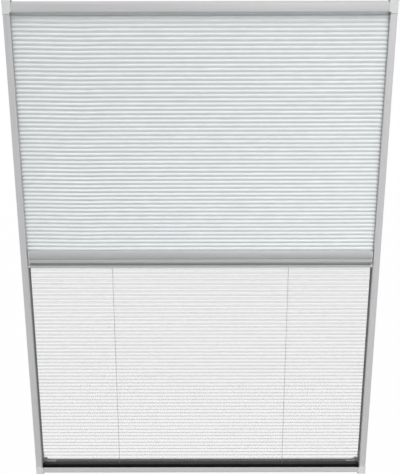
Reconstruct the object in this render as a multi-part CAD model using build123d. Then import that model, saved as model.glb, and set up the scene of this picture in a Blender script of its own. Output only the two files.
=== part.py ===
from build123d import *
import os

# Blind for a roof window in one frame: a honeycomb shade above and a pleated insect screen below.
# Each cloth hangs between a frame rail and its own pull bar, and the two bars meet in the middle.
# Lengths are in millimetres. X runs across, Y runs from the room to the window, Z runs up.
# The origin is at the bottom, in the middle of the width and of the depth.

# Frame rails
frame_width = 1200.0
frame_height = 1600.0
rail_depth = 48.0
rail_wall = 1.6
side_face = 20.5
side_back_flange = 8.5
top_face = 35.5
bottom_face = 18.5
bevel_width = 7.5
bevel_drop = 2.0
lip_return = 6.0
rail_edge_radius = 1.5
top_edge_radius = 14.0

# Corner blocks
corner_side_proud = 1.5
corner_top_proud = 3.0
corner_bottom_proud = 6.0
corner_depth_proud = 1.0
corner_leg = 5.5
corner_inner_radius = 5.0
corner_outer_radius = 5.0
corner_edge_radius = 3.5
corner_top_radius = 9.0
tongue_length = 27.0
tongue_width = 9.0
tongue_thickness = 5.0
tongue_root = 5.0
plug_gap = 0.2

# Fixing holes through the outer wall of each side rail
fixing_hole_radius = 2.25
fixing_hole_setback = 14.0
fixing_hole_inset = 300.0

# Brush seals on the floor of each side rail
brush_height = 12.4
brush_pile_width = 7.0
brush_base_width = 10.0
brush_base = 1.5

# T slot in the top rail, and the strip that slides into it and holds the shade
slot_width = 20.0
slot_mouth = 12.0
slot_rib = 20.8
strip_gap = 0.2
head_strip_width = 33.0
head_strip_web = 2.0
head_strip_lip = 6.0
head_strip_lip_wall = 1.5
head_strip_tee = 2.0
head_strip_end_gap = 0.5

# Honeycomb shade
shade_cells = 58
shade_depth = 26.0
shade_web = 21.0
shade_cloth = 0.5
shade_end_gap = 0.3

# Pleated mesh and its cords
mesh_pleats = 57
mesh_depth = 6.0
mesh_cloth = 0.5
mesh_end_gap = 2.5
mesh_opening_columns = 6
mesh_opening_rows = 7
mesh_band_pleats = 1
mesh_strand = 5.0
mesh_cord_spread = 600.0
cord_radius = 0.7
cord_hole = 3.0

# Strip in the bottom rail that holds the mesh
foot_strip_base_width = 32.0
foot_strip_base = 2.4
foot_strip_width = 13.0
foot_strip_height = 21.0
foot_strip_wall = 1.6
foot_strip_chamfer = 2.5
knot_width = 4.8
knot_height = 4.0

# Pull bars, shared sizes
meeting_height = 796.8
meeting_gap = 0.4
bar_wall = 1.6
bar_back = 15.0
bar_end_gap = 3.0
cap_thickness = 2.5
cap_plug_length = 16.0

# Shade bar
shade_bar_height = 27.8
shade_bar_front = 15.5
shade_bar_bulge = 4.0
shade_recess_width = 27.0
shade_recess = 2.8
shade_foot_strip_thickness = 2.3

# Screen bar
screen_bar_front = 17.0
screen_face_height = 10.5
screen_groove_height = 10.0
screen_groove_depth = 11.0
screen_lip_height = 7.8
screen_lip_proud = 2.0
screen_lip_radius = 1.6
screen_recess_width = 16.0
screen_recess = 6.5
mesh_head_strip_thickness = 5.7
lip_tab_gap = 0.4

# Runners in the side rails
runner_neck_width = 26.0
runner_head_gap = 0.4
runner_head_thickness = 8.0
runner_setback = 0.5
brush_clearance = 0.7
runner_chamfer = 1.5

# One overrun for all cuts
overrun = 1.0

# Places that follow from the sizes above
half_depth = rail_depth / 2
inner_half_depth = half_depth - rail_wall
rail_outer_x = frame_width / 2 - corner_side_proud
channel_floor_x = rail_outer_x - rail_wall
lip_x = rail_outer_x - side_face
corner_inner_x = lip_x - corner_leg
top_rail_top = frame_height - corner_top_proud
top_rail_bottom = top_rail_top - top_face
slot_bottom = top_rail_top - rail_wall - slot_rib
head_strip_top = slot_bottom - strip_gap
bottom_rail_bottom = corner_bottom_proud
bottom_rail_top = bottom_rail_bottom + bottom_face
side_rail_low = bottom_rail_top + corner_leg
side_rail_high = top_rail_bottom - corner_leg
brush_tip_x = channel_floor_x - brush_height
shade_half = brush_tip_x - shade_end_gap
mesh_half = brush_tip_x - mesh_end_gap
bar_half = lip_x - bar_end_gap - cap_thickness
cap_outer_x = bar_half + cap_thickness
cord_x = mesh_cord_spread / 2

shade_bar_bottom = meeting_height + meeting_gap / 2
shade_bar_top = shade_bar_bottom + shade_bar_height
shade_recess_floor = shade_bar_top - shade_recess
shade_bottom = shade_recess_floor + shade_foot_strip_thickness
shade_top = head_strip_top - head_strip_web

screen_bar_top = meeting_height - meeting_gap / 2
screen_groove_top = screen_bar_top - screen_face_height
screen_groove_bottom = screen_groove_top - screen_groove_height
screen_bar_bottom = screen_groove_bottom - screen_lip_height
screen_recess_top = screen_bar_bottom + screen_recess
mesh_top = screen_recess_top - mesh_head_strip_thickness

foot_strip_bottom = bottom_rail_bottom + rail_wall
mesh_bottom = foot_strip_bottom + foot_strip_height
foot_strip_ceiling = mesh_bottom - foot_strip_wall
cord_bottom = foot_strip_ceiling
screen_hollow_floor = screen_recess_top + bar_wall
cord_top = screen_hollow_floor


def span_box(x0, x1, y0, y1, z0, z1):
    # A block between two opposite corners, given in rising order.
    corner = (Align.MIN, Align.MIN, Align.MIN)
    return Pos(x0, y0, z0) * Box(x1 - x0, y1 - y0, z1 - z0, align=corner)


def rectangle(u0, u1, v0, v1):
    # A flat rectangle between two opposite corners of a section.
    return make_face(Polyline((u0, v0), (u1, v0), (u1, v1), (u0, v1), close=True))


def rounded(section, radius, *corners):
    # The section with the named corners rounded to one radius.
    for corner in corners:
        section = fillet(section.vertices().sort_by_distance((*corner, 0))[0], radius)
    return section


def along_x(section, x0, x1):
    # A section drawn in Y and Z, drawn out from x0 to x1.
    return extrude(Plane.YZ.offset(x0) * section, amount=x1 - x0)


def cord_holes(piece, z0, z1):
    # The piece with the two square holes that the cords run through.
    hole = cord_hole / 2
    for x in (-cord_x, cord_x):
        piece -= span_box(x - hole, x + hole, -hole, hole, z0 - overrun, z1 + overrun)
    return piece


def both_sides(piece):
    # The piece at +X and its mirror image at -X, as separate solids.
    return Compound(children=[piece, mirror(piece, about=Plane.YZ)])


def bevel_wall_at(distance):
    # How far a beveled wall has come back, at this distance from its free edge.
    return bevel_drop * (1 - distance / bevel_width)


def side_rail():
    # C section open towards the middle: a beveled front with a return lip, and a short plain back.
    lip_inner_x = lip_x + rail_wall
    bevel_x = lip_x + bevel_width
    back_x = rail_outer_x - side_back_flange
    front = [
        (rail_outer_x, -half_depth),
        (bevel_x, -half_depth),
        (lip_x, -half_depth + bevel_drop),
        (lip_x, -half_depth + bevel_drop + lip_return),
        (lip_inner_x, -half_depth + bevel_drop + lip_return),
        (lip_inner_x, -inner_half_depth + bevel_wall_at(rail_wall)),
        (bevel_x, -inner_half_depth),
        (channel_floor_x, -inner_half_depth),
    ]
    back = [
        (channel_floor_x, inner_half_depth),
        (back_x, inner_half_depth),
        (back_x, half_depth),
        (rail_outer_x, half_depth),
    ]
    section = make_face(Polyline(*front, *back, close=True))
    section = rounded(section, rail_edge_radius, front[0], back[-1])
    section = rounded(section, rail_wall / 2, front[2])
    rail = extrude(Pos(0, 0, side_rail_low) * section, amount=side_rail_high - side_rail_low)
    drill = Rot(0, 90, 0) * Cylinder(fixing_hole_radius, rail_wall + 2 * overrun)
    for z in (fixing_hole_inset, frame_height - fixing_hole_inset):
        rail -= Pos(rail_outer_x - rail_wall / 2, fixing_hole_setback, z) * drill
    return rail


def top_rail():
    # Cassette open downwards, with a rounded top and a T slot that hangs from its roof.
    bevel_z = top_rail_bottom + bevel_width
    roof = top_rail_top - rail_wall
    slot_half = slot_width / 2
    front = [
        (-half_depth, top_rail_top),
        (-half_depth, bevel_z),
        (-half_depth + bevel_drop, top_rail_bottom),
        (-inner_half_depth + bevel_drop, top_rail_bottom),
        (-inner_half_depth, bevel_z),
        (-inner_half_depth, roof),
    ]
    back = [(-y, z) for y, z in reversed(front)]
    section = make_face(Polyline(*front, *back, close=True))
    section = rounded(section, top_edge_radius, front[0], back[-1])
    section = rounded(section, top_edge_radius - rail_wall, front[-1], back[0])
    rib = rectangle(slot_half, slot_half + rail_wall, slot_bottom, roof)
    rib += rectangle(slot_mouth / 2, slot_half + rail_wall, slot_bottom, slot_bottom + rail_wall)
    section += [rib, mirror(rib, about=Plane.YZ)]
    return along_x(section, -corner_inner_x, corner_inner_x)


def bottom_rail():
    # Trough open upwards.
    bevel_z = bottom_rail_top - bevel_width
    floor = bottom_rail_bottom + rail_wall
    front = [
        (-half_depth, bottom_rail_bottom),
        (-half_depth, bevel_z),
        (-half_depth + bevel_drop, bottom_rail_top),
        (-inner_half_depth + bevel_drop, bottom_rail_top),
        (-inner_half_depth, bevel_z),
        (-inner_half_depth, floor),
    ]
    back = [(-y, z) for y, z in reversed(front)]
    section = make_face(Polyline(*front, *back, close=True))
    section = rounded(section, rail_edge_radius, front[0], back[-1])
    return along_x(section, -corner_inner_x, corner_inner_x)


def corner_block(up, outer_z, rail_outer_z, rail_inner_z, tongue_z, end_radius):
    # Hollow moulded corner at +X: up is 1 at the top and -1 at the bottom of the frame.
    # Its outside is what the front, the side and the plan have in common.
    leg_z = rail_inner_z - up * corner_leg
    outer_x = frame_width / 2
    outline = make_face(
        Polyline(
            (corner_inner_x, outer_z),
            (outer_x, outer_z),
            (outer_x, leg_z),
            (lip_x, leg_z),
            (lip_x, rail_inner_z),
            (corner_inner_x, rail_inner_z),
            close=True,
        )
    )
    outline = rounded(outline, corner_inner_radius, (lip_x, rail_inner_z))
    outline = rounded(outline, corner_outer_radius, (outer_x, outer_z))
    half = half_depth + corner_depth_proud
    base, top = sorted((leg_z, outer_z))
    side_view = rectangle(-half, half, base, top)
    side_view = rounded(side_view, end_radius, (-half, outer_z), (half, outer_z))
    plan_view = rectangle(corner_inner_x, outer_x, -half, half)
    plan_view = rounded(plan_view, corner_edge_radius, (outer_x, -half), (outer_x, half))
    block = extrude(Plane.XZ * outline, amount=half, both=True)
    block &= along_x(side_view, corner_inner_x, outer_x)
    block &= extrude(Pos(0, 0, base) * plan_view, amount=top - base)
    hollow_end = rail_outer_z - up * rail_wall
    open_end = leg_z - up * overrun
    low, high = sorted((hollow_end, open_end))
    wall = inner_half_depth
    block -= span_box(corner_inner_x - overrun, channel_floor_x, -wall, wall, low, high)
    tongue_low, tongue_high = sorted((tongue_z, tongue_z + up * tongue_width))
    stem_low, stem_high = sorted((leg_z, leg_z - up * tongue_length))
    root_low, root_high = sorted((leg_z, leg_z + up * tongue_root))
    tip = wall - plug_gap
    deep = tip - tongue_thickness
    stem_x = channel_floor_x - plug_gap
    for side in (-1, 1):
        near, far = sorted((side * deep, side * tip))
        root_near, root_far = sorted((side * deep, side * wall))
        end_x = corner_inner_x + tongue_root
        block += span_box(corner_inner_x - tongue_length, end_x, near, far, tongue_low, tongue_high)
        block += span_box(corner_inner_x, end_x, root_near, root_far, tongue_low, tongue_high)
        block += span_box(stem_x - tongue_width, stem_x, near, far, stem_low, stem_high)
        block += span_box(stem_x - tongue_width, stem_x, root_near, root_far, root_low, root_high)
    return block


def brush_seal():
    # Pile on a flat backing.
    base_x = channel_floor_x - brush_base
    base_half = brush_base_width / 2
    pile_half = brush_pile_width / 2
    backing = span_box(base_x, channel_floor_x, -base_half, base_half, side_rail_low, side_rail_high)
    return backing + span_box(brush_tip_x, base_x, -pile_half, pile_half, side_rail_low, side_rail_high)


def shade_head_strip():
    # T strip whose two lips clasp the first cell of the shade.
    slot_floor = slot_bottom + rail_wall
    tee_half = slot_width / 2 - strip_gap
    stem_half = slot_mouth / 2 - strip_gap
    half = head_strip_width / 2
    strip_half = lip_x - head_strip_end_gap
    section = rectangle(-tee_half, tee_half, slot_floor, slot_floor + head_strip_tee)
    section += rectangle(-stem_half, stem_half, shade_top, slot_floor)
    section += rectangle(-half, half, shade_top, head_strip_top)
    for side in (-1, 1):
        near, far = sorted((side * (half - head_strip_lip_wall), side * half))
        section += rectangle(near, far, head_strip_top - head_strip_lip, head_strip_top)
    return along_x(section, -strip_half, strip_half)


def honeycomb_shade():
    # Row of six-sided cells, each glued to the next along a flat web.
    pitch = (shade_top - shade_bottom) / shade_cells
    web_half = shade_web / 2
    peak = shade_depth / 2
    web_thickness = shade_cloth / 2
    hole_web = web_half + (peak - web_half) * web_thickness / (pitch / 2) - shade_cloth
    hole_peak = peak - shade_cloth
    front = []
    cells = []
    for cell in range(shade_cells):
        low = shade_bottom + cell * pitch
        middle = low + pitch / 2
        front += [(-web_half, low), (-peak, middle)]
        floor, roof = low + web_thickness, low + pitch - web_thickness
        cells.append([(-hole_web, floor), (hole_web, floor), (hole_peak, middle)])
        cells[-1] += [(hole_web, roof), (-hole_web, roof), (-hole_peak, middle)]
    front.append((-web_half, shade_top))
    back = [(-y, z) for y, z in reversed(front)]
    outline = Wire.make_polygon([(-shade_half, y, z) for y, z in front + back])
    holes = [Wire.make_polygon([(-shade_half, y, z) for y, z in cell]) for cell in cells]
    return extrude(Face(outline, holes), amount=2 * shade_half, dir=(1, 0, 0))


def mesh_openings():
    # Coarse grid of openings from fold to fold, which stands for the open weave.
    height = mesh_top - mesh_bottom
    band = mesh_band_pleats * height / mesh_pleats
    row_step = (height - band) / mesh_opening_rows
    column_step = (2 * mesh_half - mesh_strand) / mesh_opening_columns
    openings = []
    for row in range(mesh_opening_rows):
        low = mesh_bottom + band + row * row_step
        high = low + row_step - band
        for column in range(mesh_opening_columns):
            left = mesh_strand - mesh_half + column * column_step
            right = left + column_step - mesh_strand
            openings.append(span_box(left, right, -mesh_depth, mesh_depth, low, high))
    return openings


def pleated_mesh():
    # Zigzag sheet with openings, and with cord holes in the bands between them.
    pitch = (mesh_top - mesh_bottom) / mesh_pleats
    fold = (mesh_depth - mesh_cloth) / 2
    line = []
    for half_pleat in range(2 * mesh_pleats + 1):
        side = 1 if half_pleat % 2 else -1
        line.append((-side * fold, mesh_bottom + half_pleat * pitch / 2))
    front = [(-mesh_half, y - mesh_cloth / 2, z) for y, z in line]
    back = [(-mesh_half, y + mesh_cloth / 2, z) for y, z in reversed(line)]
    sheet = extrude(Face(Wire.make_polygon(front + back)), amount=2 * mesh_half, dir=(1, 0, 0))
    return cord_holes(sheet - mesh_openings(), mesh_bottom, mesh_top)


def mesh_foot_strip():
    # Hollow rib on a wide base, with a chamfered nose that shows above the bottom rail.
    base_half = foot_strip_base_width / 2
    half = foot_strip_width / 2
    base_top = foot_strip_bottom + foot_strip_base
    rib = rectangle(-half, half, foot_strip_bottom, mesh_bottom)
    rib = chamfer(rib.vertices().sort_by(Axis.Y)[-2:], foot_strip_chamfer)
    section = rib + rectangle(-base_half, base_half, foot_strip_bottom, base_top)
    inner = half - foot_strip_wall
    section -= rectangle(-inner, inner, base_top, foot_strip_ceiling)
    return cord_holes(along_x(section, -mesh_half, mesh_half), foot_strip_ceiling, mesh_bottom)


def shade_bar_outline():
    # Flat-backed bar with a convex front to pull on.
    top_front = (-shade_bar_front, shade_bar_top)
    low_front = (-shade_bar_front, shade_bar_bottom)
    belly = (-shade_bar_front - shade_bar_bulge, (shade_bar_top + shade_bar_bottom) / 2)
    back = Polyline(low_front, (bar_back, shade_bar_bottom), (bar_back, shade_bar_top), top_front)
    return make_face(ThreePointArc(top_front, belly, low_front) + back)


def shade_bar_section():
    # The bar's outline with the recess that takes the shade, and not yet hollow.
    half = shade_recess_width / 2
    recess = rectangle(-half, half, shade_recess_floor, shade_bar_top + overrun)
    return shade_bar_outline() - recess


def shade_bar_hollow():
    # The room inside the bar, under its recess.
    above = rectangle(-rail_depth, rail_depth, shade_recess_floor - bar_wall, shade_bar_top + overrun)
    return offset(shade_bar_outline(), amount=-bar_wall) - above


def shade_pull_bar():
    return along_x(shade_bar_section() - shade_bar_hollow(), -bar_half, bar_half)


def shade_foot_strip():
    # Flat strip on the floor of the shade bar's recess.
    half = shade_recess_width / 2 - strip_gap
    section = rectangle(-half, half, shade_recess_floor, shade_bottom)
    return along_x(section, -bar_half, bar_half)


def screen_bar_outline():
    # Bar with a flat face, a groove for the fingers and a lip under it.
    groove = screen_bar_front - screen_groove_depth
    lip = screen_bar_front + screen_lip_proud
    section = make_face(
        Polyline(
            (-screen_bar_front, screen_bar_top),
            (-screen_bar_front, screen_groove_top),
            (-groove, screen_groove_top),
            (-groove, screen_groove_bottom),
            (-lip, screen_groove_bottom),
            (-lip, screen_bar_bottom),
            (bar_back, screen_bar_bottom),
            (bar_back, screen_bar_top),
            close=True,
        )
    )
    top_edge = (-screen_bar_front, screen_bar_top)
    lip_edges = [(-lip, screen_groove_bottom), (-lip, screen_bar_bottom)]
    return rounded(section, screen_lip_radius, *lip_edges, top_edge)


def screen_bar_section():
    # The bar's outline with the recess that takes the mesh, and not yet hollow.
    half = screen_recess_width / 2
    recess = rectangle(-half, half, screen_bar_bottom - overrun, screen_recess_top)
    return screen_bar_outline() - recess


def screen_bar_hollow():
    # The room inside the bar, over its recess.
    front = screen_bar_front - screen_groove_depth - bar_wall
    return rectangle(-front, bar_back - bar_wall, screen_hollow_floor, screen_bar_top - bar_wall)


def screen_lip_hollow():
    # The room inside the lip.
    front = screen_bar_front + screen_lip_proud - bar_wall
    back = screen_recess_width / 2 + bar_wall
    return rectangle(-front, -back, screen_bar_bottom + bar_wall, screen_groove_bottom - bar_wall)


def screen_pull_bar():
    section = screen_bar_section() - screen_bar_hollow() - screen_lip_hollow()
    return cord_holes(along_x(section, -bar_half, bar_half), screen_recess_top, screen_hollow_floor)


def mesh_head_strip():
    # Strip in the recess under the screen bar.
    half = screen_recess_width / 2 - strip_gap
    strip = along_x(rectangle(-half, half, mesh_top, screen_recess_top), -bar_half, bar_half)
    return cord_holes(strip, mesh_top, screen_recess_top)


def mesh_cord():
    # Cord that runs up through the mesh, from one knot to the other.
    foot = (Align.CENTER, Align.CENTER, Align.MIN)
    return Pos(cord_x, 0, cord_bottom) * Cylinder(cord_radius, cord_top - cord_bottom, align=foot)


def cord_knots(z):
    # The two knots, wider than the holes that they hold against.
    section = Pos(cord_x, 0, z) * RegularPolygon(knot_width / 2, 8, major_radius=False)
    return both_sides(extrude(section, amount=knot_height))


def runner(section, hollow, shoe_low, shoe_high):
    # End cap with a plug into the bar and a shoe that runs in the side rail, astride the brush.
    neck_half = runner_neck_width / 2
    head_half = inner_half_depth - runner_head_gap
    head_x = lip_x + bevel_width + runner_setback
    head_end = head_x + runner_head_thickness
    slot_half = brush_pile_width / 2 + brush_clearance
    piece = along_x(section, bar_half, cap_outer_x)
    piece += along_x(offset(hollow, amount=-plug_gap), bar_half - cap_plug_length, bar_half)
    piece += span_box(cap_outer_x, head_x, -neck_half, neck_half, shoe_low, shoe_high)
    head = span_box(head_x, head_end, -head_half, head_half, shoe_low, shoe_high)
    piece += chamfer(head.edges().filter_by(Axis.X), runner_chamfer)
    slot_x = brush_tip_x - brush_clearance
    slot_end = head_end + overrun
    piece -= span_box(slot_x, slot_end, -slot_half, slot_half, shoe_low - overrun, shoe_high + overrun)
    return piece


def shade_runner():
    return runner(shade_bar_section(), shade_bar_hollow(), shade_bar_bottom, shade_recess_floor)


def screen_runner():
    piece = runner(screen_bar_section(), screen_bar_hollow(), screen_recess_top, screen_bar_top)
    tab_end = lip_x - lip_tab_gap
    lip = screen_bar_front + screen_lip_proud
    low = screen_bar_bottom + screen_lip_radius
    high = screen_groove_bottom - screen_lip_radius
    return piece + span_box(cap_outer_x, tab_end, -lip, -runner_neck_width / 2, low, high)


def build():
    # Every piece by name, the right-hand ones mirrored to make the left-hand ones.
    right_rail = side_rail()
    top_ends = (frame_height, top_rail_top, top_rail_bottom, top_rail_bottom + bevel_width)
    bottom_ends = (0, bottom_rail_bottom, bottom_rail_top, bottom_rail_top - bevel_width)
    top_right = corner_block(1, *top_ends, corner_top_radius)
    bottom_right = corner_block(-1, *bottom_ends, corner_edge_radius)
    brush = brush_seal()
    paired = {
        "side_rail": right_rail,
        "top_{}_corner": top_right,
        "bottom_{}_corner": bottom_right,
        "brush_seal": brush,
        "mesh_cord": mesh_cord(),
        "shade_bar_{}_runner": shade_runner(),
        "screen_bar_{}_runner": screen_runner(),
    }
    pieces = {
        "top_rail": top_rail(),
        "bottom_rail": bottom_rail(),
        "shade_head_strip": shade_head_strip(),
        "honeycomb_shade": honeycomb_shade(),
        "pleated_mesh": pleated_mesh(),
        "mesh_foot_strip": mesh_foot_strip(),
        "lower_cord_knots": cord_knots(cord_bottom - knot_height),
        "shade_pull_bar": shade_pull_bar(),
        "shade_foot_strip": shade_foot_strip(),
        "screen_pull_bar": screen_pull_bar(),
        "mesh_head_strip": mesh_head_strip(),
        "upper_cord_knots": cord_knots(cord_top),
    }
    for name, piece in paired.items():
        pattern = name if "{}" in name else "{}_" + name
        pieces[pattern.format("right")] = piece
        pieces[pattern.format("left")] = mirror(piece, about=Plane.YZ)
    return pieces


os.makedirs("parts", exist_ok=True)
for name, piece in build().items():
    export_step(piece, os.path.join("parts", name + ".step"))
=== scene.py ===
import math
import random

import bpy
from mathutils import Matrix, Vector


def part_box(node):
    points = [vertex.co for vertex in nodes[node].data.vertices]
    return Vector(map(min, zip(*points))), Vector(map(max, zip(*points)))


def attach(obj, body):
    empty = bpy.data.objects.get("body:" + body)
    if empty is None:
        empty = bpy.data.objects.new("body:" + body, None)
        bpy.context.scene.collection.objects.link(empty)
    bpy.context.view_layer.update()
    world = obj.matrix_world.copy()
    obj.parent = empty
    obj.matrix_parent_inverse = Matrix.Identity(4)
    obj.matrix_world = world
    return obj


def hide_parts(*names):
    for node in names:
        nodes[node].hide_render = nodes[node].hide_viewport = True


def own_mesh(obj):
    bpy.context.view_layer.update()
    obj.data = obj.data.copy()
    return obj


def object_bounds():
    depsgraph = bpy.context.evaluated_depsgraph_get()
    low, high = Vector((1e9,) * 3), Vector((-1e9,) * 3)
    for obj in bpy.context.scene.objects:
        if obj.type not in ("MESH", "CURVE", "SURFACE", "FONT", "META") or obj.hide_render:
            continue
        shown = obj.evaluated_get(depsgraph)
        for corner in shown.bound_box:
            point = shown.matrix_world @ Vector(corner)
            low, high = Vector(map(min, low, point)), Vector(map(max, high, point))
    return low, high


# Looks of a framed blind for a roof window: honeycomb shade above, pleated insect screen below.
# Lengths are in metres, in the frame of the solids: X across, Y from the room to the window, Z up.

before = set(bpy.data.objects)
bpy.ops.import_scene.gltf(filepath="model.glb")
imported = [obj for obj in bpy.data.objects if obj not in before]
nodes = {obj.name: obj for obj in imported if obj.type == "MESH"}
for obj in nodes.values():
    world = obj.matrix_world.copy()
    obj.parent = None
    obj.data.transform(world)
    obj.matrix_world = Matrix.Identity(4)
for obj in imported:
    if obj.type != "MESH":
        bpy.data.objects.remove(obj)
cad_low, cad_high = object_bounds()

# Camera, fitted to the photograph
camera_place = (-0.00099, -1.1907, 1.0415)
camera_pitch_down = math.radians(8.195)
camera_roll = math.radians(0.095)
camera_sensor_mm = 36.0
camera_lens_mm = 27.146

# Honeycomb shade: its cells, the width of a glued web, and how much of a fold is rounded
shade_cells = 58
shade_web = 0.0195
shade_round_share = 0.3
shade_columns = 56
shade_cell_steps = (0.0, 0.04, 0.12, 0.25, 0.37, 0.44, 0.5, 0.56, 0.63, 0.75, 0.88, 0.96)

# How the folds of the shade rise and sag along their length
shade_left_lift = 0.0017
shade_left_start = 0.42
shade_right_lift = 0.0004
shade_right_start = 0.40
shade_lift_end = 0.57
shade_dip = 0.0006
shade_dip_x = -0.375
shade_dip_width = 0.05
shade_stray = 0.00005
shade_stray_per_metre = 11.0
shade_seed = 7

# Pleated mesh, woven from single threads, with a thicker one in each fold
mesh_pleats = 57
mesh_cloth = 0.0005
mesh_warp_pitch = 0.0016
mesh_wefts_per_flank = 6
mesh_thread = 0.00009
mesh_crease = 0.0005

# Cords
cord_radius = 0.0007
cord_round_steps = 3
cord_curve_order = 3

# Brushes: a backing with rows of tufts, whose tips stand closer and lean at random
brush_base = 0.0015
brush_tuft_pitch = 0.00085
brush_rows = 5
brush_half_width = 0.0035
brush_tip_width_share = 0.9
brush_least_reach = 0.9
brush_fibre = 0.0007
brush_lean = 0.0009
brush_seeds = {"left_brush_seal": 12, "right_brush_seal": 11}

# Softened edges of the rigid pieces
weld_distance = 1e-6
edge_round = 0.0003
edge_segments = 2
edge_least_angle = math.radians(30.0)
flat_face_weight = 100

# Grain of the materials in cycles per metre, and its relief in metres
noise_low = 0.3
noise_high = 0.7
metal_share = 0.35
metal_roughness = (0.42, 0.54)
metal_grain = 2500.0
die_lines_along = 6.0
die_lines_across = 900.0
die_line_relief = 0.00003
plastic_cloud = 40.0
plastic_grain = 1800.0
plastic_roughness_span = 0.12
plastic_relief = 0.00004
cloth_roughness = 0.9
cloth_sheen = 0.15
cloth_sheen_roughness = 0.5
cloth_fibres = (350.0, 1400.0, 1400.0)
cloth_clouds = (25.0, 60.0, 60.0)
cloth_relief = 0.00006
thread_sheen = 0.1
thread_twist = 1500.0
thread_relief = 0.00003
braid_roughness = 0.7
braid_turn = math.radians(45.0)
braid_bands = 350.0
braid_distortion = 0.3
braid_relief = 0.0001

# Colours, each a darker and a lighter tone
cloth_tones = ((0.77, 0.80, 0.805), (0.81, 0.84, 0.845))
rail_tones = ((0.52, 0.52, 0.53), (0.57, 0.57, 0.58))
bar_tones = ((0.43, 0.435, 0.44), (0.49, 0.495, 0.50))
corner_tones = ((0.67, 0.69, 0.68), (0.72, 0.74, 0.73))
grey_tones = ((0.64, 0.65, 0.65), (0.70, 0.71, 0.71))
black_tones = ((0.006, 0.006, 0.007), (0.012, 0.012, 0.013))
thread_tones = ((0.03, 0.03, 0.03), (0.06, 0.06, 0.06))
braid_tones = ((0.28, 0.28, 0.28), (0.38, 0.38, 0.38))
white = (1.0, 1.0, 1.0, 1.0)

# Light
key_elevation = math.radians(56.0)
key_azimuth = math.radians(3.0)
key_spread = math.radians(50.0)
key_level = 0.70
side_elevation = math.radians(5.0)
side_azimuth = math.radians(80.0)
side_spread = math.radians(50.0)
left_level = 0.40
right_level = 0.15
back_elevation = math.radians(30.0)
back_azimuth = math.radians(190.0)
back_spread = math.radians(90.0)
back_level = 0.5
upper_box_place = (1.0, -2.35, 2.65)
upper_box_size = 1.5
upper_box_brightness = 1.3
low_box_place = (1.3, -2.4, 0.35)
low_box_size = 1.6
low_box_brightness = 1.5
world_level = 0.04

# Floor
floor_half = 60.0
floor_tone = (0.5, 0.5, 0.5, 1.0)
floor_roughness = 0.9
floor_glow_share = 0.985


class Shader:
    # One material's node tree, with short ways to add and link its nodes.

    def __init__(self, name, **settings):
        self.material = bpy.data.materials.new(name)
        self.material.use_nodes = True
        self.tree = self.material.node_tree
        self.surface = self.tree.nodes["Principled BSDF"]
        self.place = self.add("ShaderNodeTexCoord").outputs["Object"]
        for socket, value in settings.items():
            self.set(socket.replace("_", " ").title(), value)

    def set(self, socket, value):
        if isinstance(value, bpy.types.NodeSocket):
            self.tree.links.new(value, self.surface.inputs[socket])
        else:
            self.surface.inputs[socket].default_value = value

    def add(self, kind, inputs=None, **properties):
        node = self.tree.nodes.new(kind)
        for name, value in properties.items():
            setattr(node, name, value)
        for name, value in (inputs or {}).items():
            if isinstance(value, bpy.types.NodeSocket):
                self.tree.links.new(value, node.inputs[name])
            else:
                node.inputs[name].default_value = value
        return node

    def noise(self, scale, detail=2.0):
        # Noise whose grain has its own size along each axis, in cycles per metre.
        stretched = self.add("ShaderNodeMapping", {"Vector": self.place, "Scale": scale})
        inputs = {"Vector": stretched.outputs["Vector"], "Scale": 1.0, "Detail": detail}
        return self.add("ShaderNodeTexNoise", inputs).outputs["Fac"]

    def even_noise(self, scale, detail=2.0):
        return self.noise((scale, scale, scale), detail)

    def blend(self, factor, dark, light):
        # A colour between two, by a factor that varies over the surface.
        ramp = self.add("ShaderNodeValToRGB", {"Fac": factor})
        low, high = ramp.color_ramp.elements
        low.position = noise_low
        low.color = (*dark, 1.0)
        high.position = noise_high
        high.color = (*light, 1.0)
        return ramp.outputs["Color"]

    def between(self, factor, low, high):
        # A number between two, by a factor that varies over the surface.
        spans = {"From Min": noise_low, "From Max": noise_high, "To Min": low, "To Max": high}
        return self.add("ShaderNodeMapRange", {"Value": factor, **spans}).outputs["Result"]

    def bump(self, height, distance):
        # Small relief, with its height in metres.
        inputs = {"Height": height, "Distance": distance, "Strength": 1.0}
        self.set("Normal", self.add("ShaderNodeBump", inputs).outputs["Normal"])


def aluminium(name, dark, light, run):
    # Satin anodised extrusion with fine die lines along its run, "X" or "Z".
    lines = [die_lines_across] * 3
    lines["XYZ".index(run)] = die_lines_along
    shader = Shader(name, metallic=metal_share)
    streaks = shader.noise(lines, detail=3.0)
    shader.set("Base Color", shader.blend(streaks, dark, light))
    shader.set("Roughness", shader.between(shader.even_noise(metal_grain), *metal_roughness))
    shader.bump(streaks, die_line_relief)
    return shader.material


def moulded_plastic(name, dark, light, roughness):
    # Moulded plastic with a fine sparked grain.
    shader = Shader(name)
    cloud = shader.even_noise(plastic_cloud, detail=4.0)
    grain = shader.even_noise(plastic_grain)
    shader.set("Base Color", shader.blend(cloud, dark, light))
    shader.set("Roughness", shader.between(grain, roughness, roughness + plastic_roughness_span))
    shader.bump(grain, plastic_relief)
    return shader.material


def shade_cloth():
    # White non-woven cloth: short fibres that run along the pleats.
    sheen = {"sheen_weight": cloth_sheen, "sheen_roughness": cloth_sheen_roughness}
    shader = Shader("shade_cloth", roughness=cloth_roughness, **sheen)
    fibres = shader.noise(cloth_fibres, detail=3.0)
    clouds = shader.noise(cloth_clouds, detail=3.0)
    shader.set("Base Color", shader.blend(clouds, *cloth_tones))
    shader.bump(fibres, cloth_relief)
    return shader.material


def thread(name, dark, light, roughness):
    # Twisted polyester thread.
    shader = Shader(name, roughness=roughness, sheen_weight=thread_sheen)
    twist = shader.even_noise(thread_twist)
    shader.set("Base Color", shader.blend(twist, dark, light))
    shader.bump(twist, thread_relief)
    return shader.material


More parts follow.
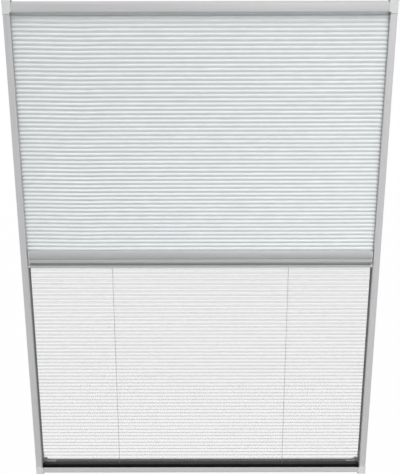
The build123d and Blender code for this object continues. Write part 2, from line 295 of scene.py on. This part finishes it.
def braided_cord():
    # Round braid: two crossing sets of bands along the cord.
    shader = Shader("cord", roughness=braid_roughness)
    bands = []
    for turn in (braid_turn, -braid_turn):
        turned = shader.add("ShaderNodeMapping", {"Vector": shader.place, "Rotation": (0.0, turn, 0.0)})
        inputs = {"Vector": turned.outputs["Vector"], "Scale": braid_bands, "Distortion": braid_distortion}
        bands.append(shader.add("ShaderNodeTexWave", inputs).outputs["Fac"])
    larger = shader.add("ShaderNodeMath", {0: bands[0], 1: bands[1]}, operation="MAXIMUM")
    strands = larger.outputs["Value"]
    shader.set("Base Color", shader.blend(strands, *braid_tones))
    shader.bump(strands, braid_relief)
    return shader.material


def new_piece(name, points, faces, material, smooth=False):
    # A mesh piece in the frame of the solids.
    mesh = bpy.data.meshes.new(name)
    mesh.from_pydata(points, [], faces)
    mesh.polygons.foreach_set("use_smooth", [smooth] * len(mesh.polygons))
    mesh.update()
    piece = bpy.data.objects.new(name, mesh)
    bpy.context.scene.collection.objects.link(piece)
    mesh.materials.append(material)
    return piece


def grid_faces(rows, columns, first):
    # Quads between rows of points that were listed row by row.
    faces = []
    for row in range(rows - 1):
        for column in range(columns - 1):
            corner = first + row * columns + column
            faces.append((corner, corner + 1, corner + columns + 1, corner + columns))
    return faces


def smooth_step(value, start, end):
    share = min(max((value - start) / (end - start), 0.0), 1.0)
    return share * share * (3.0 - 2.0 * share)


def shade_wave(x):
    # How far the folds of the shade rise or sag at this place along them.
    left = shade_left_lift * smooth_step(-x, shade_left_start, shade_lift_end)
    right = shade_right_lift * smooth_step(x, shade_right_start, shade_lift_end)
    dip = shade_dip * math.exp(-(((x - shade_dip_x) / shade_dip_width) ** 2))
    return left + right - dip


def fold_depth(step, web, peak):
    # Depth of the cloth from the middle plane, at this share of a cell's height.
    # It goes from the edge of the web out to the soft fold in the middle of the cell, and back.
    rise = 1.0 - abs(2.0 * step - 1.0)
    start = 1.0 - shade_round_share
    if rise > start:
        rise -= (rise - start) ** 2 / (2.0 * shade_round_share)
    return web + (peak - web) * rise / (1.0 - shade_round_share / 2.0)


def shade_points(rows, low, high):
    # Rows of points up the front cloth, and then up the back cloth.
    pitch = (high.z - low.z) / shade_cells
    chance = random.Random(shade_seed)
    phases = [chance.uniform(0.0, 2.0 * math.pi) for _ in range(shade_cells + 1)]
    xs = [low.x + (high.x - low.x) * column / shade_columns for column in range(shade_columns + 1)]
    points = []
    for side in (-1.0, 1.0):
        for row in rows:
            cell = min(int(row), shade_cells - 1)
            depth = side * fold_depth(row - cell, shade_web / 2, high.y)
            freedom = min(row, shade_cells - row, 1.0)
            for x in xs:
                stray = shade_stray * math.sin(shade_stray_per_metre * x + phases[cell])
                points.append((x, depth, low.z + pitch * row + freedom * (shade_wave(x) + stray)))
    return points


def shade_faces(rows):
    # The front and the back cloth, and a web between them at each glue line.
    columns = shade_columns + 1
    cloth_points = len(rows) * columns
    faces = grid_faces(len(rows), columns, 0)
    faces += [face[::-1] for face in grid_faces(len(rows), columns, cloth_points)]
    for cell in range(shade_cells + 1):
        first = cell * len(shade_cell_steps) * columns
        for front in range(first, first + shade_columns):
            back = front + cloth_points
            faces.append((front, front + 1, back + 1, back))
    return faces


def honeycomb_shade(material):
    # Two cloths, folded at each cell and tied by webs, with rows counted in cells from the foot.
    low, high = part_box("honeycomb_shade")
    rows = [cell + step for cell in range(shade_cells) for step in shade_cell_steps]
    rows.append(shade_cells)
    points = shade_points(rows, low, high)
    piece = new_piece("honeycomb_cloth", points, shade_faces(rows), material, smooth=True)
    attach(piece, "frame")
    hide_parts("honeycomb_shade")
    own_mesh(piece)


def add_warps(points, faces, folds, low, high):
    # Flat threads that run up the cloth and bend at each fold. Their number is given back.
    width = high.x - low.x
    half = mesh_thread / 2
    gaps = int(width / mesh_warp_pitch)
    for warp in range(gaps + 1):
        x = low.x + half + (width - mesh_thread) * warp / gaps
        first = len(points)
        for y, z in folds:
            points += [(x - half, y, z), (x + half, y, z)]
        faces += grid_faces(len(folds), 2, first)
    return gaps + 1


def weft_lines(folds):
    # Place and half width of each thread across the cloth: thick ones in the folds, fine ones between.
    wefts = [(y, z, mesh_crease / 2) for y, z in folds[1:-1]]
    for (y0, z0), (y1, z1) in zip(folds, folds[1:]):
        for weft in range(mesh_wefts_per_flank):
            share = (weft + 0.5) / mesh_wefts_per_flank
            wefts.append((y0 + share * (y1 - y0), z0 + share * (z1 - z0), mesh_thread / 2))
    return wefts


def add_wefts(points, faces, wefts, low, high):
    # Straight threads with four sides.
    for y, z, reach in wefts:
        first = len(points)
        for x in (low.x, high.x):
            points += [(x, y - reach, z), (x, y, z - reach), (x, y + reach, z), (x, y, z + reach)]
        for corner in range(4):
            after = (corner + 1) % 4
            faces.append((first + corner, first + after, first + 4 + after, first + 4 + corner))


def insect_mesh(material):
    # Open weave on the zigzag of the pleats.
    low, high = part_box("pleated_mesh")
    height = high.z - low.z
    fold = (high.y - low.y - mesh_cloth) / 2
    flanks = 2 * mesh_pleats
    folds = [(-fold if row % 2 else fold, low.z + height * row / flanks) for row in range(flanks + 1)]
    wefts = weft_lines(folds)
    points = []
    faces = []
    warps = add_warps(points, faces, folds, low, high)
    add_wefts(points, faces, wefts, low, high)
    piece = new_piece("mesh_threads", points, faces, material)
    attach(piece, "frame")
    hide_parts("pleated_mesh")
    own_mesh(piece)


def tube_mesh(name, route, radius):
    # Round tube along a route.
    curve = bpy.data.curves.new(name, "CURVE")
    curve.dimensions = "3D"
    curve.bevel_depth = radius
    curve.bevel_resolution = cord_round_steps
    spline = curve.splines.new("NURBS")
    spline.points.add(len(route) - 1)
    for point, place in zip(spline.points, route):
        point.co = (*place, 1.0)
    spline.order_u = cord_curve_order
    spline.use_endpoint_u = True
    line = bpy.data.objects.new(name, curve)
    mesh = bpy.data.meshes.new_from_object(line)
    bpy.data.objects.remove(line)
    return mesh


def mesh_cord(node, material):
    # Taut cord through the pleats, from the knot in the foot strip to the knot in the screen bar.
    low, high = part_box(node)
    x, y = (low.x + high.x) / 2, (low.y + high.y) / 2
    route = [(x, y, low.z), (x, y, (low.z + high.z) / 2), (x, y, high.z)]
    mesh = tube_mesh(node + "_line", route, cord_radius)
    mesh.materials.clear()
    mesh.materials.append(material)
    piece = bpy.data.objects.new(node + "_braid", mesh)
    bpy.context.scene.collection.objects.link(piece)
    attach(piece, "frame")
    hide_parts(node)
    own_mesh(piece)


def brush_pile(node, material):
    # Tufts of fibres that stand on a woven backing in the floor of a side rail.
    low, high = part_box(node)
    side = 1.0 if low.x > 0 else -1.0
    floor_x, tip_x = (high.x, low.x) if side > 0 else (low.x, high.x)
    root_x = floor_x - side * brush_base
    chance = random.Random(brush_seeds[node])
    backing = (floor_x, root_x), (low.y, high.y), (low.z, high.z)
    points = [(x, y, z) for x in backing[0] for y in backing[1] for z in backing[2]]
    faces = [(0, 1, 3, 2), (4, 6, 7, 5), (0, 4, 5, 1), (2, 3, 7, 6), (0, 2, 6, 4), (1, 5, 7, 3)]
    tufts = int((high.z - low.z) / brush_tuft_pitch)
    half = brush_fibre / 2
    for tuft in range(tufts):
        z = low.z + (high.z - low.z) * (tuft + 0.5) / tufts
        for row in range(brush_rows):
            y = brush_half_width * (2.0 * (row + 0.5) / brush_rows - 1.0)
            reach = chance.uniform(brush_least_reach, 1.0)
            tip_y = y * brush_tip_width_share + chance.uniform(-half, half)
            tip_z = z + chance.uniform(-brush_lean, brush_lean)
            first = len(points)
            points += [(root_x, y - half, z - half), (root_x, y + half, z - half), (root_x, y, z + half)]
            points.append((root_x + (tip_x - root_x) * reach, tip_y, tip_z))
            faces += [(first + edge, first + (edge + 1) % 3, first + 3) for edge in range(3)]
    piece = new_piece(node + "_fibres", points, faces, material)
    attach(piece, "frame")
    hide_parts(node)


def finish_node(name, material):
    # A solid keeps its shape, and gets its material, softened edges and even shading.
    solid = nodes[name]
    solid.data.materials.clear()
    solid.data.materials.append(material)
    weld = solid.modifiers.new("weld", "WELD")
    weld.merge_threshold = weld_distance
    bevel = solid.modifiers.new("edges", "BEVEL")
    bevel.width = edge_round
    bevel.segments = edge_segments
    bevel.limit_method = "ANGLE"
    bevel.angle_limit = edge_least_angle
    evened = solid.modifiers.new("shading", "WEIGHTED_NORMAL")
    evened.mode = "FACE_AREA"
    evened.weight = flat_face_weight
    solid.data.polygons.foreach_set("use_smooth", [True] * len(solid.data.polygons))


def seen_directly(tree):
    # 1 for rays that show a surface by sight, in a mirror or through glass, and 0 for rays that light it.
    rays = tree.nodes.new("ShaderNodeLightPath")
    total = rays.outputs["Is Camera Ray"]
    for name in ("Is Glossy Ray", "Is Transmission Ray"):
        larger = tree.nodes.new("ShaderNodeMath")
        larger.operation = "MAXIMUM"
        tree.links.new(total, larger.inputs[0])
        tree.links.new(rays.outputs[name], larger.inputs[1])
        total = larger.outputs["Value"]
    return total


def add_world():
    # White to look at, weak as light.
    world = bpy.data.worlds.new("studio")
    world.use_nodes = True
    bpy.context.scene.world = world
    tree = world.node_tree
    background = tree.nodes["Background"]
    background.inputs["Color"].default_value = white
    level = tree.nodes.new("ShaderNodeMapRange")
    level.inputs["To Min"].default_value = world_level
    level.inputs["To Max"].default_value = 1.0
    tree.links.new(seen_directly(tree), level.inputs["Value"])
    tree.links.new(level.outputs["Result"], background.inputs["Strength"])


def floor_material():
    # Grey as a surface that light falls on, and nearly white to look at, with a trace of shadow.
    material = bpy.data.materials.new("floor")
    material.use_nodes = True
    tree = material.node_tree
    matt = tree.nodes["Principled BSDF"]
    matt.inputs["Base Color"].default_value = floor_tone
    matt.inputs["Roughness"].default_value = floor_roughness
    glow = tree.nodes.new("ShaderNodeEmission")
    glow.inputs["Color"].default_value = white
    share = tree.nodes.new("ShaderNodeMath")
    share.operation = "MULTIPLY"
    share.inputs[1].default_value = floor_glow_share
    mix = tree.nodes.new("ShaderNodeMixShader")
    tree.links.new(seen_directly(tree), share.inputs[0])
    tree.links.new(share.outputs["Value"], mix.inputs["Fac"])
    tree.links.new(matt.outputs["BSDF"], mix.inputs[1])
    tree.links.new(glow.outputs["Emission"], mix.inputs[2])
    tree.links.new(mix.outputs["Shader"], tree.nodes["Material Output"].inputs["Surface"])
    return material


def add_floor():
    half = floor_half
    corners = [(-half, -half, 0.0), (half, -half, 0.0), (half, half, 0.0), (-half, half, 0.0)]
    new_piece("floor", corners, [(0, 1, 2, 3)], floor_material())


def add_light(name, elevation, azimuth, spread, level):
    # Soft light from far away. Azimuth 0 is straight from the room.
    # Level 1 lights a white surface that faces it to white.
    data = bpy.data.lights.new(name, "SUN")
    data.angle = spread
    data.energy = math.pi * level
    lamp = bpy.data.objects.new(name, data)
    lamp.visible_glossy = False
    level_part = math.cos(elevation)
    towards = (level_part * math.sin(azimuth), -level_part * math.cos(azimuth), math.sin(elevation))
    lamp.rotation_euler = Vector(towards).to_track_quat("Z", "Y").to_euler()
    bpy.context.scene.collection.objects.link(lamp)


def add_soft_box(name, place, size, brightness, sheen):
    # Soft box near the part, turned to its middle, that may also show as a sheen on the metal.
    data = bpy.data.lights.new(name, "AREA")
    data.shape = "SQUARE"
    data.size = size
    data.energy = math.pi * size * size * brightness
    lamp = bpy.data.objects.new(name, data)
    lamp.location = place
    middle = (cad_low + cad_high) / 2
    lamp.rotation_euler = (Vector(place) - middle).to_track_quat("Z", "Y").to_euler()
    lamp.visible_camera = False
    lamp.visible_glossy = sheen
    bpy.context.scene.collection.objects.link(lamp)


def add_camera():
    data = bpy.data.cameras.new("camera")
    data.sensor_fit = "VERTICAL"
    data.sensor_height = camera_sensor_mm
    data.lens = camera_lens_mm
    camera = bpy.data.objects.new("camera", data)
    camera.location = camera_place
    camera.rotation_euler = (math.pi / 2 - camera_pitch_down, camera_roll, 0.0)
    bpy.context.scene.collection.objects.link(camera)
    bpy.context.scene.camera = camera


cross_rail = aluminium("rail_aluminium_across", *rail_tones, run="X")
upright_rail = aluminium("rail_aluminium_upright", *rail_tones, run="Z")
bar_metal = aluminium("bar_aluminium", *bar_tones, run="X")
corner_plastic = moulded_plastic("corner_plastic", *corner_tones, roughness=0.5)
grey_plastic = moulded_plastic("grey_plastic", *grey_tones, roughness=0.5)
black_plastic = moulded_plastic("black_plastic", *black_tones, roughness=0.45)
mesh_material = thread("insect_mesh", *thread_tones, roughness=0.6)
brush_material = thread("brush_pile", *black_tones, roughness=0.8)
cord_material = braided_cord()

node_materials = {
    "top_rail": cross_rail,
    "bottom_rail": cross_rail,
    "left_side_rail": upright_rail,
    "right_side_rail": upright_rail,
    "shade_pull_bar": bar_metal,
    "screen_pull_bar": bar_metal,
    "top_left_corner": corner_plastic,
    "top_right_corner": corner_plastic,
    "bottom_left_corner": corner_plastic,
    "bottom_right_corner": corner_plastic,
    "shade_bar_left_runner": grey_plastic,
    "shade_bar_right_runner": grey_plastic,
    "screen_bar_left_runner": grey_plastic,
    "screen_bar_right_runner": grey_plastic,
    "shade_head_strip": grey_plastic,
    "shade_foot_strip": grey_plastic,
    "mesh_head_strip": grey_plastic,
    "mesh_foot_strip": black_plastic,
    "lower_cord_knots": cord_material,
    "upper_cord_knots": cord_material,
}

add_camera()
for side in ("left", "right"):
    mesh_cord(side + "_mesh_cord", cord_material)
honeycomb_shade(shade_cloth())
insect_mesh(mesh_material)
for side in ("left", "right"):
    brush_pile(side + "_brush_seal", brush_material)
for node, material in node_materials.items():
    finish_node(node, material)
add_world()
add_floor()
add_light("key", key_elevation, key_azimuth, key_spread, key_level)
add_light("left_fill", side_elevation, -side_azimuth, side_spread, left_level)
add_light("right_fill", side_elevation, side_azimuth, side_spread, right_level)
add_light("back_fill", back_elevation, back_azimuth, back_spread, back_level)
add_soft_box("upper_box", upper_box_place, upper_box_size, upper_box_brightness, sheen=True)
add_soft_box("low_box", low_box_place, low_box_size, low_box_brightness, sheen=False)

bpy.context.scene.view_settings.view_transform = "Standard"
